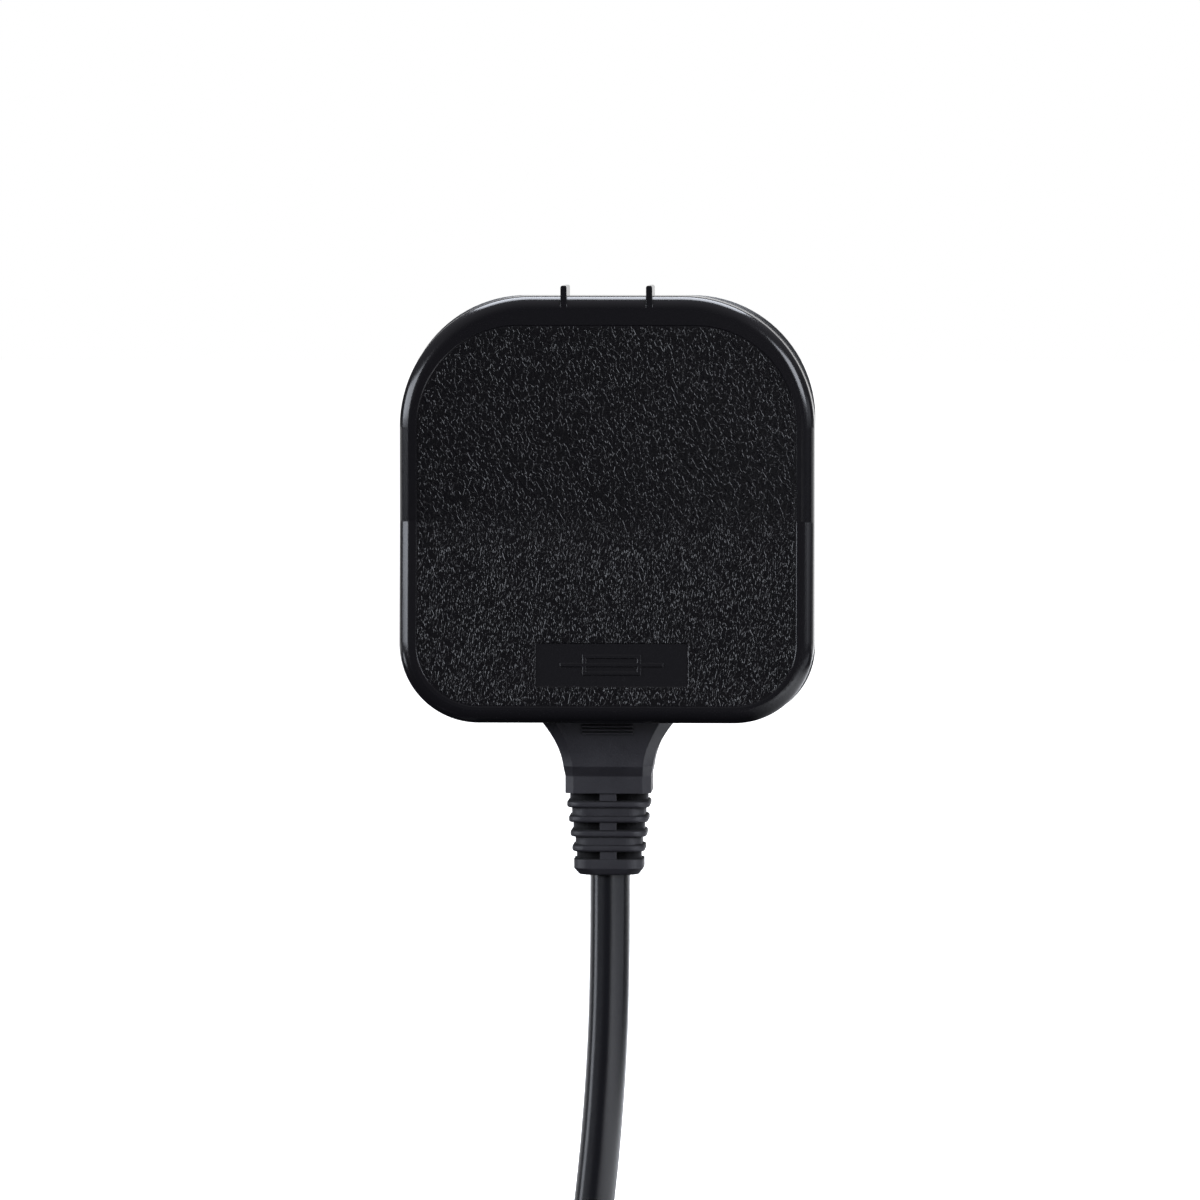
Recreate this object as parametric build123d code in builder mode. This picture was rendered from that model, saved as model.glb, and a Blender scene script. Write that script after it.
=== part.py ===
"""Fused conversion plug, screwed shut over a flat two-pin plug on a round two-core lead.

Millimetres. The front view is the X-Z plane, seen along +Y. The origin is the middle of the pin
face, the pins point along +Y into the wall, and depths count from the pin face towards the viewer.
"""

import os
from math import atan, cos, degrees, pi, radians, sin, tan

from build123d import *

os.makedirs("parts", exist_ok=True)

# Housing
cover_width = 50.0
cover_height = 51.4
top_corner = 15.8
bottom_corner = 9.6
wall = 2.0
face_wall = 2.4
crease_z = -1.45
flare_angle = 4.5
rim_roll = 1.5
base_squareness = 0.9
base_draft = 2.0
face_rounding = 1.4
seam_bevel = 0.35
lip_height = 1.1
lip_wall = 0.85
moulded_gap = 0.15
plug_front_gap = 0.2

# Textured panel on the cover, sunk inside a plain border
panel_side_border = 2.1
panel_top_border = 3.5
panel_bottom_border = 2.0
panel_depth = 0.1

# Smooth sunk field near the panel's lower edge, with the sign for a fuse raised in it
plate_mark_x = 0.7
plate_mark_rise = 7.05
plate_mark_width = 18.5
plate_mark_height = 5.3
plate_mark_sink = 0.16
sign_box_width = 7.0
sign_box_height = 2.4
sign_line_length = 12.4
sign_line = 0.4
sign_step = 0.14

# Two thin fins on the cover's top wall
fin_spacing = 10.3
fin_thickness = 0.75
fin_height = 1.25
fin_root = 1.6
fin_rounding = 0.25

# Snap hooks of the cover behind the base's top wall
hook_spacing = 13.0
hook_width = 4.0
hook_thickness = 1.0
hook_reach = 3.2
hook_nib = 0.6
hook_nib_length = 1.0
hook_root = 2.0

# Ribs in the cover that press on the inner plug
rib_spacing = 16.0
rib_thickness = 1.2
rib_height = 11.0
rib_drop = 1.55

# Pins of the conversion plug
pin_offset = 11.115
pin_drop = 22.23
pin_row_z = -10.5
blade_width = 6.35
blade_height = 3.97
blade_length = 17.7
blade_edge = 0.45
blade_tip = 1.4
blade_tip_taper = 0.7
sleeve_length = 9.5
sleeve_wall = 0.6
collar_rim = 1.0
collar_thickness = 1.2
earth_width = 3.97
earth_height = 7.93
earth_length = 22.73
earth_tip = 1.1
earth_edge = 0.2
earth_flange = 1.5
pin_fit = 0.05

# Cartridge fuse, its pull-out carrier and its clips
fuse_length = 25.4
fuse_radius = 3.175
fuse_cap_length = 5.6
fuse_cap_wall = 0.3
fuse_cap_end = 0.45
fuse_bore_radius = 1.9
fuse_link_radius = 0.15
fuse_depth = 5.4
fuse_z = -0.4
carrier_end = 1.05
carrier_height = 9.0
carrier_plate = 2.0
carrier_corner = 1.0
carrier_gap = 0.25
carrier_leg = 1.1
carrier_leg_height = 6.0
carrier_leg_depth = 7.0
fuse_end_gap = 0.15
claw_wall = 0.9
claw_width = 2.4
claw_spacing = 8.0
claw_mouth = 1.9
notch_width = 4.0
notch_length = 1.4
notch_depth = 1.1
well_wall = 1.0
well_depth = 7.0
clip_width = 4.0
clip_gap = 0.12
clip_mouth_depth = 4.0
sheet = 0.6
strap_width = 3.0
strap_gap = 0.25
neutral_strap_drop = 3.2
load_strap_z = 6.2

# Insulating plate between the fuse side and the plug side
plate_thickness = 1.2
plate_seat_gap = 0.1
plate_edge_gap = 0.3
post_radius = 2.0
upper_post_from_side = 8.5
upper_post_from_top = 9.7
lower_post_x = 6.0
lower_post_rise = 5.1

# Screws that close the housing
screw_from_side = 5.4
screw_rise = 6.5
screw_head_radius = 2.8
screw_head_height = 1.9
screw_head_depth = 6.0
screw_radius = 1.45
screw_length = 17.0
screw_hole_gap = 0.05
screw_clearance = 0.25
screw_point = 0.8
screw_hole_beyond = 1.0
counterbore_gap = 0.3
boss_radius = 3.2
cross_width = 0.8
cross_length = 3.4
cross_depth = 1.2

# Flat two-pin plug inside the housing, from its pin face down to its strain relief
plug_width = 35.3
plug_thickness = 13.7
plug_bevel = 4.6
shoulder_rise = 10.2
neck_rise = 1.7
neck_width = 19.2
neck_thickness = 12.8
neck_bevel = 2.1
exit_drop = 0.44
exit_width = 15.6
exit_thickness = 12.2
exit_bevel = 1.6
waist_drop = 2.4
waist_width = 13.0
waist_thickness = 11.3
waist_bevel = 1.35
chin_drop = 5.6
chin_width = 10.85
chin_thickness = 10.4
chin_bevel = 1.15
root_drop = 6.8
root_width = 10.4
root_thickness = 8.9
root_bevel = 1.0
root_height = 2.1
passage_rise = 2.4
passage_drop = 1.3
passage_gap = 0.35
grip_rib_width = 6.2
grip_rib_height = 0.28
grip_rib_pitch = 0.45
grip_rib_count = 3
grip_rib_thickness = 0.22
grip_rib_drop = 0.5

# Pins of the inner plug, which lean towards each other
plug_pin_radius = 2.0
plug_pin_length = 19.0
plug_pin_spacing = 18.6
plug_pin_tip_spacing = 17.5
plug_pin_root = 8.0
plug_pin_sleeve_length = 10.0
plug_pin_sleeve_wall = 0.4
plug_pin_tip_rounding = 1.2

# Strain relief of the inner plug
slot_height = 0.95
ring_height = 0.83
side_groove_height = 0.97
relief_segments = 2
relief_top_width = 10.3
relief_taper = 0.2256
relief_flatness = 0.86
relief_corner = 1.9
ring_rounding = 0.3
side_groove_depth = 0.5
front_groove_depth = 0.25
slot_core_edge = 0.4
bridge_set_back = 0.15
slot_core_share = 0.62
bridge_width = 2.0
bell_height = 1.9
bell_shoulder = 1.1
bell_end_width = 7.3
bell_end_thickness = 6.5
bell_end_corner = 2.6
bell_recess = 1.2
bell_recess_gap = 0.2

# Socket block and spring contacts for the inner plug's pins
block_width = 29.0
block_height = 19.7
block_corner = 2.5
block_bore_radius = 2.9
block_top_wall = 0.6
block_top_gap = 1.5
pocket_width = 7.4
pocket_rise = 10.3
pocket_top_wall = 1.0
pocket_depth = 9.2
contact_x = 8.9
contact_rise = 10.9
contact_height = 7.2
contact_gap = 0.2
contact_reach = 1.6
tail_rise = 12.7
tail_slot_gap = 0.2

# Cord
cord_diameter = 4.9
bend_share = 0.45
coil_mean_radius = 27.5
coil_turns_across = 4
coil_layers = 2
coil_slack = 0.4
coil_rounding = 2.4
entry_stub = 19.5
exit_rise = 2.3
exit_corner_x = 22.0
exit_bend = 20.0
connector_from_middle = 12.85
connector_height = 7.05
tie_wall = 0.8
tie_arc = 16.0
tie_direction = 180.0
tie_gap = 0.06

# Appliance connector at the cord's far end
connector_tilt = 2.0
nose_pitch = 8.6
nose_radius = 3.9
nose_web = 5.6
nose_length = 12.5
socket_radius = 1.25
socket_wall = 0.3
socket_length = 11.0
socket_recess = 0.8
socket_fit = 0.05
grip_length = 20.0
grip_width = 21.0
grip_thickness = 11.2
grip_corner = 3.0
grip_root_width = 13.6
grip_waist_at = 7.0
grip_waist_width = 17.0
grip_waist_thickness = 9.8
tail_length = 20.0
tail_rings = 5
tail_ring_thickness = 2.2
tail_ring_rim = 0.55
tail_start_radius = 3.0
tail_end_radius = 4.4

# Worked out from the driving dimensions
half_height = cover_height / 2
bottom_z = -half_height
plate_mark_z = bottom_z + plate_mark_rise
carrier_width = fuse_length + 2 * (fuse_end_gap + carrier_leg + carrier_end)
well_half_width = carrier_width / 2 + carrier_gap + well_wall
neutral_strap_x = -well_half_width - strap_gap - strap_width / 2
upper_post_x = cover_width / 2 - upper_post_from_side
upper_post_z = half_height - upper_post_from_top
lower_post_z = bottom_z + lower_post_rise
screw_x = cover_width / 2 - screw_from_side
screw_z = bottom_z + screw_rise
shoulder_z = bottom_z + shoulder_rise
neck_z = bottom_z + neck_rise
exit_z = bottom_z - exit_drop
waist_z = bottom_z - waist_drop
chin_z = bottom_z - chin_drop
root_z = bottom_z - root_drop
root_bottom_z = root_z - root_height
passage_top_z = bottom_z + passage_rise
passage_bottom_z = bottom_z - passage_drop
grip_rib_top_z = bottom_z - grip_rib_drop
block_top_z = half_height - wall - block_top_gap
engagement_z = block_top_z - block_height
pocket_bottom_z = engagement_z + pocket_rise
pocket_top_z = block_top_z - pocket_top_wall
contact_bottom_z = engagement_z + contact_rise
tail_z = engagement_z + tail_rise
neutral_strap_z = tail_z - neutral_strap_drop
rib_top_z = crease_z - rib_drop
earth_z = pin_row_z + pin_drop
clip_back_depth = fuse_depth + fuse_radius + clip_gap
strap_depth = clip_back_depth + sheet
plate_depth = strap_depth + plate_seat_gap
plate_front = plate_depth + plate_thickness
plug_depth = plate_front + plug_thickness / 2
plug_front = plate_front + plug_thickness
split_depth = plug_depth
front_depth = plug_front + plug_front_gap + wall
screw_places = ((-screw_x, screw_z), (screw_x, screw_z))
post_places = (
    (-upper_post_x, upper_post_z),
    (upper_post_x, upper_post_z),
    (-lower_post_x, lower_post_z),
    (lower_post_x, lower_post_z),
)
fuse_tube_radius = fuse_radius - fuse_cap_wall
clip_x = (fuse_length - fuse_cap_length) / 2
segment_height = slot_height + 2 * ring_height + side_groove_height
bell_top_z = root_bottom_z - relief_segments * segment_height - slot_height
bell_bottom_z = bell_top_z - bell_height
cord_radius = cord_diameter / 2
reach = 60.0

# The cord's route, by hand: straight out of the bell, a slight lean, then down and round to the left
cord_route = (
    (0.1, bell_bottom_z + bell_recess),
    (0.1, -56.0),
    (-0.4, -69.5),
    (-1.75, -85.0),
    (-4.4, -102.5),
    (-12.9, -114.2),
    (-25.8, -120.8),
    (-33.8, -120.8),
)
coil_bottom_turn_z = cord_route[-1][1]
coil_top_turn_z = coil_bottom_turn_z + (coil_layers - 1) * cord_diameter
coil_mid_z = (coil_bottom_turn_z + coil_top_turn_z) / 2
coil_width = coil_turns_across * cord_diameter + coil_slack
coil_height = coil_layers * cord_diameter + coil_slack
coil_outer_turn = coil_mean_radius + (coil_turns_across - 1) * cord_diameter / 2
coil_x = cord_route[-1][0] - entry_stub
coil_y = -plug_depth - coil_outer_turn


def front(depth):
    """The front-view plane at a depth in front of the pin face."""
    return Plane.XZ.offset(depth)


def shell_outline(depth, inset=0.0, squareness=0.0):
    """The housing's outline: broad round shoulders above, tighter corners below."""
    with BuildSketch(front(depth)) as outline:
        Rectangle(cover_width - 2 * inset, cover_height - 2 * inset)
        fillet(outline.vertices().group_by(Axis.Y)[-1], radius=top_corner - squareness - inset)
        fillet(outline.vertices().group_by(Axis.Y)[0], radius=bottom_corner - squareness - inset)
    return outline.sketch


def panel_outline(depth):
    """The textured panel's outline inside the cover's plain border."""
    panel_height = cover_height - panel_top_border - panel_bottom_border
    with BuildSketch(front(depth)) as outline:
        with Locations((0, (panel_bottom_border - panel_top_border) / 2)):
            Rectangle(cover_width - 2 * panel_side_border, panel_height)
        fillet(outline.vertices().group_by(Axis.Y)[-1], radius=top_corner - panel_top_border)
        fillet(outline.vertices().group_by(Axis.Y)[0], radius=bottom_corner - panel_bottom_border)
    return outline.sketch


def behind_front(set_back):
    """All that lies behind the creased front face, moved back by set_back."""
    flare = (reach + crease_z) * tan(radians(flare_angle))
    with BuildPart() as slab:
        with BuildSketch(Plane.YZ):
            with BuildLine():
                Polyline(
                    (0, -reach),
                    (0, reach),
                    (set_back - front_depth, reach),
                    (set_back - front_depth, crease_z),
                    (set_back - front_depth - flare, -reach),
                    close=True,
                )
            make_face()
        extrude(amount=reach, both=True)
    return slab.part


def shell_block(start, inset=0.0, set_back=0.0):
    """The housing's outline filled from one depth out to the creased front."""
    with BuildPart() as block:
        extrude(shell_outline(start, inset), amount=reach)
        add(behind_front(set_back), mode=Mode.INTERSECT)
    return block.part


def lip_ring(outer_inset, inner_inset, height):
    """The locating lip on the base's rim, or the groove that takes it in the cover."""
    with BuildPart() as ring:
        extrude(shell_outline(split_depth - seam_bevel, outer_inset), amount=height + seam_bevel)
        inside = shell_outline(split_depth - seam_bevel, inner_inset)
        extrude(inside, amount=height + seam_bevel, mode=Mode.SUBTRACT)
    return ring.part


def blade_section(side, depth, shrink=0.0, grow=0.0):
    """A flat pin's section at one depth, smaller by its sleeve or larger by a fit or collar."""
    with BuildSketch(front(depth)) as section:
        with Locations((side * pin_offset, pin_row_z)):
            Rectangle(blade_width + 2 * (grow - shrink), blade_height + 2 * (grow - shrink))
        fillet(section.vertices(), radius=blade_edge)
    return section.sketch


def plug_section(z, width, thickness, bevel):
    """The inner plug's section at one height: flat faces with bevelled long edges."""
    with BuildSketch(Plane.XY.offset(z)) as section:
        with Locations((0, -plug_depth)):
            Rectangle(width, thickness)
        chamfer(section.vertices(), bevel)
    return section.sketch


def relief_section(z, width, thickness):
    """A strain relief section at one height: a flat-sided, round-cornered block."""
    with BuildSketch(Plane.XY.offset(z)) as section:
        with Locations((0, -plug_depth)):
            RectangleRounded(width, thickness, relief_corner)
    return section.sketch


def passage_section(z):
    """The neck's section at one height with room round it, from the two named ones beside it."""
    stations = (
        (shoulder_z, plug_width, plug_thickness, plug_bevel),
        (neck_z, neck_width, neck_thickness, neck_bevel),
        (exit_z, exit_width, exit_thickness, exit_bevel),
        (waist_z, waist_width, waist_thickness, waist_bevel),
    )
    above = max(station for station in stations if station[0] < z or station == stations[-1])
    below = min(station for station in stations if station[0] >= z)
    share = (z - above[0]) / (below[0] - above[0])
    width, thickness, bevel = (a + (b - a) * share for a, b in zip(above[1:], below[1:]))
    return plug_section(z, width + 2 * passage_gap, thickness + 2 * passage_gap, bevel)


def neck_passage():
    """The way out for the inner plug's neck through the housing's lower wall."""
    with BuildPart() as passage:
        levels = (passage_top_z, neck_z, exit_z, passage_bottom_z)
        loft([passage_section(z) for z in levels], ruled=True)
    return passage.part


def write(piece, name):
    """Label a finished piece and write it as its own file."""
    piece.part.label = name
    export_step(piece.part, "parts/" + name + ".step")


# Cover: a creased front shell with a rolled rim, a sunk panel, fins, hooks, ribs and screw bosses
neck_way = neck_passage()
cover_cavity = shell_block(split_depth, wall, wall)
with BuildPart() as panel_cut:
    extrude(panel_outline(split_depth), amount=reach)
    add(behind_front(panel_depth), mode=Mode.SUBTRACT)
with BuildPart() as cover_inside:
    with BuildSketch(front(split_depth)):
        with Locations(*screw_places):
            Circle(boss_radius)
    extrude(amount=reach)
    with BuildSketch(front(plug_front)):
        with Locations((0, rib_top_z - rib_height / 2)):
            with GridLocations(rib_spacing, 0, 2, 1):
                Rectangle(rib_thickness, rib_height)
    extrude(amount=reach)
    add(behind_front(wall / 2), mode=Mode.INTERSECT)
with BuildPart() as fuse_field:
    with BuildSketch(front(front_depth - wall / 2)):
        with Locations((plate_mark_x, plate_mark_z)):
            Rectangle(plate_mark_width, plate_mark_height)
    extrude(amount=reach)
    add(behind_front(panel_depth + plate_mark_sink), mode=Mode.SUBTRACT)
with BuildPart() as fuse_sign:
    with BuildSketch(front(front_depth)):
        with Locations((plate_mark_x, plate_mark_z)):
            Rectangle(sign_box_width, sign_box_height)
            inside = 2 * sign_line
            Rectangle(sign_box_width - inside, sign_box_height - inside, mode=Mode.SUBTRACT)
            Rectangle(sign_line_length, sign_line)
    extrude(amount=reach)
    add(behind_front(panel_depth + plate_mark_sink - sign_step), mode=Mode.INTERSECT)
with BuildPart() as cover:
    add(shell_block(split_depth))
    chamfer(cover.edges().group_by(Axis.Y)[-1], seam_bevel)
    front_edges = cover.faces().sort_by(Axis.Y)[:2].edges()
    fillet(front_edges.filter_by(lambda edge: abs(edge.center().Z - crease_z) > 1.0), rim_roll)
    add(cover_cavity, mode=Mode.SUBTRACT)
    add(panel_cut.part, mode=Mode.SUBTRACT)
    add(fuse_field.part, mode=Mode.SUBTRACT)
    add(fuse_sign.part)
    add(cover_inside.part)
    with BuildSketch(front(split_depth)):
        with Locations(*screw_places):
            Circle(screw_radius + screw_hole_gap)
    extrude(amount=screw_head_depth + screw_length + screw_hole_beyond - split_depth, mode=Mode.SUBTRACT)
    with BuildSketch(front(split_depth + seam_bevel)):
        with Locations((0, half_height + (fin_height - fin_root) / 2)):
            with GridLocations(fin_spacing, 0, 2, 1):
                RectangleRounded(fin_thickness, fin_height + fin_root, fin_rounding)
    extrude(amount=front_depth - split_depth - seam_bevel)
    lip_groove = lip_ring(wall - lip_wall - moulded_gap, wall + moulded_gap, lip_height + moulded_gap)
    add(lip_groove, mode=Mode.SUBTRACT)
    hook_top = half_height - wall - moulded_gap
    hook_start = -split_depth - lip_height - moulded_gap
    hook_tip = hook_reach - split_depth
    for side in (-1, 1):
        with BuildSketch(Plane.YZ.offset(side * hook_spacing / 2)):
            with BuildLine():
                Polyline(
                    (hook_start - hook_root, hook_top - hook_thickness),
                    (hook_tip, hook_top - hook_thickness),
                    (hook_tip, hook_top),
                    (hook_tip - hook_nib_length / 2, hook_top + hook_nib),
                    (hook_tip - hook_nib_length, hook_top + hook_nib),
                    (hook_tip - hook_nib_length, hook_top),
                    (hook_start, hook_top),
                    (hook_start, half_height - wall / 2),
                    (hook_start - hook_root, half_height - wall / 2),
                    close=True,
                )
            make_face()
        extrude(amount=hook_width / 2, both=True)
    add(neck_way, mode=Mode.SUBTRACT)
write(cover, "cover")

# Base: the pin face, the fuse well, posts for the insulating plate and screw bosses
with BuildPart() as base:
    rim_outline = shell_outline(split_depth, squareness=base_squareness)
    extrude(rim_outline, amount=-split_depth, taper=base_draft)
    fillet(base.edges().group_by(Axis.Y)[-1], face_rounding)
    chamfer(base.edges().group_by(Axis.Y)[0], seam_bevel)
    extrude(shell_outline(face_wall, wall, base_squareness), amount=reach, mode=Mode.SUBTRACT)
    add(lip_ring(wall - lip_wall, wall, lip_height))
    with BuildSketch(front(face_wall)):
        with Locations(*screw_places):
            Circle(boss_radius)
    extrude(amount=split_depth - face_wall)
    with BuildSketch(front(face_wall)):
        with Locations(*post_places):
            Circle(post_radius)
    extrude(amount=plate_depth - face_wall)
    with BuildSketch(front(face_wall)):
        with Locations((0, fuse_z)):
            rim = 2 * (carrier_gap + well_wall)
            RectangleRounded(carrier_width + rim, carrier_height + rim, carrier_corner + well_wall)
    extrude(amount=well_depth - face_wall)
    with BuildSketch(front(0)):
        with Locations((0, fuse_z)):
            room = 2 * carrier_gap
            RectangleRounded(carrier_width + room, carrier_height + room, carrier_corner)
    extrude(amount=well_depth, mode=Mode.SUBTRACT)
    for side in (-1, 1):
        extrude(blade_section(side, 0, grow=pin_fit), amount=face_wall, mode=Mode.SUBTRACT)
    with BuildSketch(front(0)):
        with Locations((0, earth_z)):
            Rectangle(earth_width + 2 * pin_fit, earth_height + 2 * pin_fit)
    extrude(amount=face_wall, mode=Mode.SUBTRACT)
    screw_planes = [Plane(origin=(x, 0, z), z_dir=(0, 1, 0)) for x, z in screw_places]
    with Locations(*screw_planes):
        CounterBoreHole(
            screw_radius + screw_clearance,
            screw_head_radius + counterbore_gap,
            screw_head_depth,
            depth=split_depth + lip_height,
        )
    for side in (-1, 1):
        with BuildSketch(front(split_depth - hook_reach - 2 * moulded_gap)):
            with Locations((side * hook_spacing / 2, half_height - wall)):
                Rectangle(hook_width + 4 * moulded_gap, 2 * (hook_nib + moulded_gap))
        extrude(amount=hook_nib_length + 4 * moulded_gap, mode=Mode.SUBTRACT)
    add(neck_way, mode=Mode.SUBTRACT)
write(base, "base")

# Insulating plate, which carries the inner plug and passes the contacts' tails
with BuildPart() as insulating_plate:
    extrude(shell_outline(plate_depth, wall + plate_edge_gap, base_squareness), amount=plate_thickness)
    with BuildSketch(front(plate_depth)):
        with Locations(*screw_places):
            Circle(boss_radius + plate_edge_gap)
        with Locations((-contact_x, tail_z), (contact_x, tail_z)):
            Rectangle(strap_width + 2 * tail_slot_gap, sheet + 2 * tail_slot_gap)
    extrude(amount=plate_thickness, mode=Mode.SUBTRACT)
write(insulating_plate, "insulating_plate")

# Screws: pan heads with a cross recess, shanks with a cone point
for side, name in ((-1, "screw_left"), (1, "screw_right")):
    with BuildPart() as screw:
        with BuildSketch(Plane(origin=(side * screw_x, -screw_head_depth, screw_z), z_dir=(0, 1, 0))):
            Circle(screw_head_radius)
        extrude(amount=screw_head_height)
        fillet(screw.edges().sort_by(Axis.Y)[-1], screw_head_height / 2)
        with BuildSketch(front(screw_head_depth)):
            with Locations((side * screw_x, screw_z)):
                Circle(screw_radius)
        extrude(amount=screw_length)
        chamfer(screw.edges().sort_by(Axis.Y)[0], screw_point)
        with BuildSketch(front(screw_head_depth - screw_head_height)):
            with Locations((side * screw_x, screw_z)):
                Rectangle(cross_length, cross_width)
                Rectangle(cross_width, cross_length)
        extrude(amount=cross_depth, mode=Mode.SUBTRACT)
    write(screw, name)

# Line and neutral pins: a core inside the sleeve, a full section beyond it and a collar inside
for side, name in ((-1, "neutral_pin"), (1, "line_pin")):
    with BuildPart() as pin:
        core = blade_section(side, clip_back_depth, shrink=sleeve_wall + pin_fit)
        extrude(core, amount=-clip_back_depth - sleeve_length)
        extrude(blade_section(side, -sleeve_length), amount=sleeve_length + blade_tip - blade_length)
        shoulder = blade_section(side, blade_tip - blade_length)
        loft([shoulder, blade_section(side, -blade_length, shrink=blade_tip_taper)])
        extrude(blade_section(side, face_wall, grow=collar_rim), amount=collar_thickness)
    write(pin, name)
    with BuildPart() as sleeve:
        extrude(blade_section(side, face_wall), amount=-face_wall - sleeve_length)
        hollow = blade_section(side, face_wall, shrink=sleeve_wall)
        extrude(hollow, amount=-face_wall - sleeve_length, mode=Mode.SUBTRACT)
    write(sleeve, name + "_sleeve")

# Plastic earth pin, which only opens the wall socket's shutters
with BuildPart() as earth_pin:
    with BuildSketch(front(face_wall)):
        with Locations((0, earth_z)):
            Rectangle(earth_width, earth_height)
    extrude(amount=-face_wall - earth_length)
    chamfer(earth_pin.edges().group_by(Axis.Y)[-1], earth_tip)
    fillet(earth_pin.edges().filter_by(Axis.Y), earth_edge)
    with BuildSketch(front(face_wall)):
        with Locations((0, earth_z)):
            Rectangle(earth_width + 2 * collar_rim, earth_height + 2 * collar_rim)
    extrude(amount=earth_flange)
write(earth_pin, "earth_pin")

# Cartridge fuse: a bored ceramic tube, two end caps and the link between them
fuse_centre = (-fuse_depth, fuse_z)
fuse_half = fuse_length / 2
with BuildPart() as fuse_tube:
    with BuildSketch(Plane.YZ):
        with Locations(fuse_centre):
            Circle(fuse_tube_radius)
            Circle(fuse_bore_radius, mode=Mode.SUBTRACT)
    extrude(amount=fuse_half - fuse_cap_end, both=True)
write(fuse_tube, "fuse_tube")
with BuildPart() as fuse_link:
    with BuildSketch(Plane.YZ):
        with Locations(fuse_centre):
            Circle(fuse_link_radius)
    extrude(amount=fuse_half - fuse_cap_end, both=True)
write(fuse_link, "fuse_link")
for side, name in ((-1, "fuse_cap_left"), (1, "fuse_cap_right")):
    with BuildPart() as fuse_cap:
        with BuildSketch(Plane.YZ.offset(side * fuse_half)):
            with Locations(fuse_centre):
                Circle(fuse_radius)
        extrude(amount=-side * fuse_cap_length)
        with BuildSketch(Plane.YZ.offset(side * (fuse_half - fuse_cap_end))):
            with Locations(fuse_centre):
                Circle(fuse_tube_radius)
        extrude(amount=-side * fuse_cap_length, mode=Mode.SUBTRACT)
    write(fuse_cap, name)

# Fuse carrier: a plate flush with the pin face, two claws round the tube and a leg at each end
with BuildPart() as fuse_carrier:
    with BuildSketch(front(0)):
        with Locations((0, fuse_z)):
            RectangleRounded(carrier_width, carrier_height, carrier_corner)
    extrude(amount=carrier_plate)
    with BuildSketch(front(carrier_plate)):
        with Locations((0, fuse_z)):
            with GridLocations(fuse_length + 2 * fuse_end_gap + carrier_leg, 0, 2, 1):
                Rectangle(carrier_leg, carrier_leg_height)
    extrude(amount=carrier_leg_depth - carrier_plate)
    claw_bore = fuse_tube_radius + pin_fit
    for side in (-1, 1):
        with BuildSketch(Plane.YZ.offset(side * claw_spacing / 2)):
            with Locations(fuse_centre):
                Circle(claw_bore + claw_wall)
                Circle(claw_bore, mode=Mode.SUBTRACT)
            with Locations((-fuse_depth - claw_mouth - fuse_radius, fuse_z)):
                Rectangle(2 * fuse_radius, 4 * fuse_radius, mode=Mode.SUBTRACT)
        extrude(amount=claw_width / 2, both=True)
    with BuildSketch(front(0)):
        with Locations((carrier_width / 2, fuse_z)):
            Rectangle(2 * notch_length, notch_width)
    extrude(amount=notch_depth, mode=Mode.SUBTRACT)
write(fuse_carrier, "fuse_carrier")


def spring_clip(x):
    """A sheet clip that grips one fuse cap, open towards the pin face."""
    jaw_height = 2 * (fuse_radius + clip_gap)
    with BuildPart() as clip:
        with BuildSketch(Plane.YZ.offset(x)):
            with Locations((-(clip_mouth_depth + strap_depth) / 2, fuse_z)):
                Rectangle(strap_depth - clip_mouth_depth, jaw_height + 2 * sheet)
            with Locations((-(clip_mouth_depth + clip_back_depth) / 2, fuse_z)):
                Rectangle(clip_back_depth - clip_mouth_depth, jaw_height, mode=Mode.SUBTRACT)
        extrude(amount=clip_width / 2, both=True)
    return clip.part


# Line clip: the fuse's first clip, on a strap from the line pin's inner end
line_clip_solid = spring_clip(clip_x)
with BuildPart() as line_clip:
    add(line_clip_solid)
    with BuildSketch(front(clip_back_depth)):
        strap_foot = pin_row_z - strap_width / 2
        with Locations((pin_offset, (fuse_z + strap_foot) / 2)):
            Rectangle(strap_width, fuse_z - strap_foot)
    extrude(amount=sheet)
write(line_clip, "line_clip")

# Load clip: the fuse's second clip, on a strap that goes round to the line contact
load_clip_solid = spring_clip(-clip_x)
with BuildPart() as load_clip:
    add(load_clip_solid)
    with BuildSketch(front(clip_back_depth)):
        with BuildLine():
            Polyline(
                (-clip_x, fuse_z),
                (-clip_x, load_strap_z),
                (contact_x, load_strap_z),
                (contact_x, tail_z),
            )
        trace(line_width=strap_width)
        with Locations((contact_x, tail_z)):
            Rectangle(strap_width, strap_width)
    extrude(amount=sheet)
write(load_clip, "load_clip")

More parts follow.
